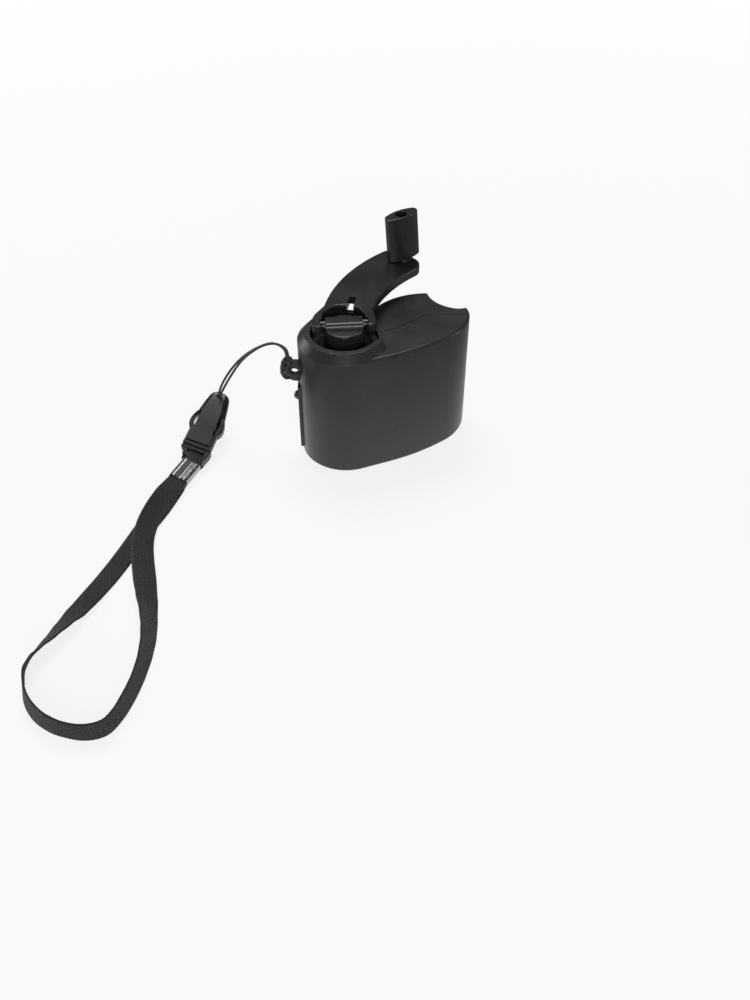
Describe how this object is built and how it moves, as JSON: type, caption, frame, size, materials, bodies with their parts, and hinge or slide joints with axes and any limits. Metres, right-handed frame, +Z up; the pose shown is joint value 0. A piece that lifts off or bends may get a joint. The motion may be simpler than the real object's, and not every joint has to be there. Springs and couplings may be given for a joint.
{
  "type": "hand crank phone charger",
  "caption": "Pocket hand crank charger: curved case with a USB port, folding crank arm with a turning knob, and a wrist strap on a side-release buckle.",
  "frame": {"origin": "on the crank's axis, at the base plane of the case", "axes": "+Z up along the crank's axis, +X from the hub end towards the tip of the case, +Y towards the concave rear side"},
  "size_m": [0.1362, 0.1769, 0.0704],
  "materials": {
    "case_plastic": "fine satin texture",
    "crank_plastic": "satin",
    "buckle_plastic": "satin",
    "steel": "plain",
    "nickel": "nickel plated",
    "bronze": "sintered",
    "gear_nylon": "moulded nylon",
    "copper": "enamelled wire",
    "iron": "plain",
    "board_green": "solder mask",
    "electronic_black": "moulded",
    "capacitor_sleeve": "can",
    "tongue_cream": "moulded",
    "contact_brass": "polished",
    "lamp_lens": "clear dark resin",
    "cord_black": "braided",
    "webbing_black": "woven nylon"
  },
  "bodies": {
    "case": {"front_shell": "case_plastic", "rear_shell": "case_plastic", "casing_screw": "steel", "hub_bush": "crank_plastic", "first_axle": "steel", "second_axle": "steel", "axle_clips": "steel", "gear_frame": "steel", "frame_screws": "steel", "generator_screws": "steel", "generator_can": "steel", "generator_end_cap": "electronic_black", "generator_magnets": "iron", "circuit_board": "board_green", "usb_shell": "nickel", "usb_tongue": "tongue_cream", "usb_contacts": "contact_brass", "status_lamp": "lamp_lens", "smoothing_capacitor": "capacitor_sleeve", "rectifier_diodes": "electronic_black", "regulator_chip": "electronic_black", "filter_choke": "copper", "string_knot": "cord_black", "lanyard_string_left": "cord_black", "lanyard_string_right": "cord_black", "buckle_socket": "buckle_plastic", "buckle_plug": "buckle_plastic", "strap_tab": "webbing_black", "strap_crimp": "nickel", "wrist_strap": "webbing_black"},
    "crank": {"crank_hub": "crank_plastic", "drive_gear": "gear_nylon", "hub_clips": "steel"},
    "first_wheel": {"first_gear": "gear_nylon"},
    "second_wheel": {"second_gear": "gear_nylon"},
    "rotor": {"rotor_shaft": "steel", "armature": "copper", "rotor_pinion": "bronze"},
    "arm": {"crank_arm": "crank_plastic", "hinge_pin": "crank_plastic", "knob_spindle": "steel"},
    "knob": {"crank_knob": "crank_plastic"}
  },
  "joints": [
    {"name": "crank_spin", "type": "hinge", "parent": "case", "child": "crank", "pos_m": [0, 0, 0.0445], "axis": [0, 0, 1], "continuous": true},
    {"name": "first_wheel_spin", "type": "hinge", "parent": "case", "child": "first_wheel", "pos_m": [0.01269, 0.00462, 0.0356], "axis": [0, 0, 1], "continuous": true},
    {"name": "second_wheel_spin", "type": "hinge", "parent": "case", "child": "second_wheel", "pos_m": [0.0215, 0.01201, 0.0326], "axis": [0, 0, 1], "continuous": true},
    {"name": "rotor_spin", "type": "hinge", "parent": "case", "child": "rotor", "pos_m": [0.01639, 0.00199, 0.02], "axis": [0, 0, 1], "continuous": true},
    {"name": "arm_fold", "type": "hinge", "parent": "crank", "child": "arm", "pos_m": [0, 0, 0.0515], "axis": [0.9962, 0.0872, 0], "range_deg": [0, 180]},
    {"name": "knob_spin", "type": "hinge", "parent": "arm", "child": "knob", "pos_m": [0.02088, 0.04188, 0.0515], "axis": [-0.0698, 0, 0.9976], "continuous": true}
  ],
  "couplings": [
    {"joint": "first_wheel_spin", "follows": "crank_spin", "ratio": -3.5},
    {"joint": "second_wheel_spin", "follows": "crank_spin", "ratio": 12.6},
    {"joint": "rotor_spin", "follows": "crank_spin", "ratio": -50.4}
  ]
}
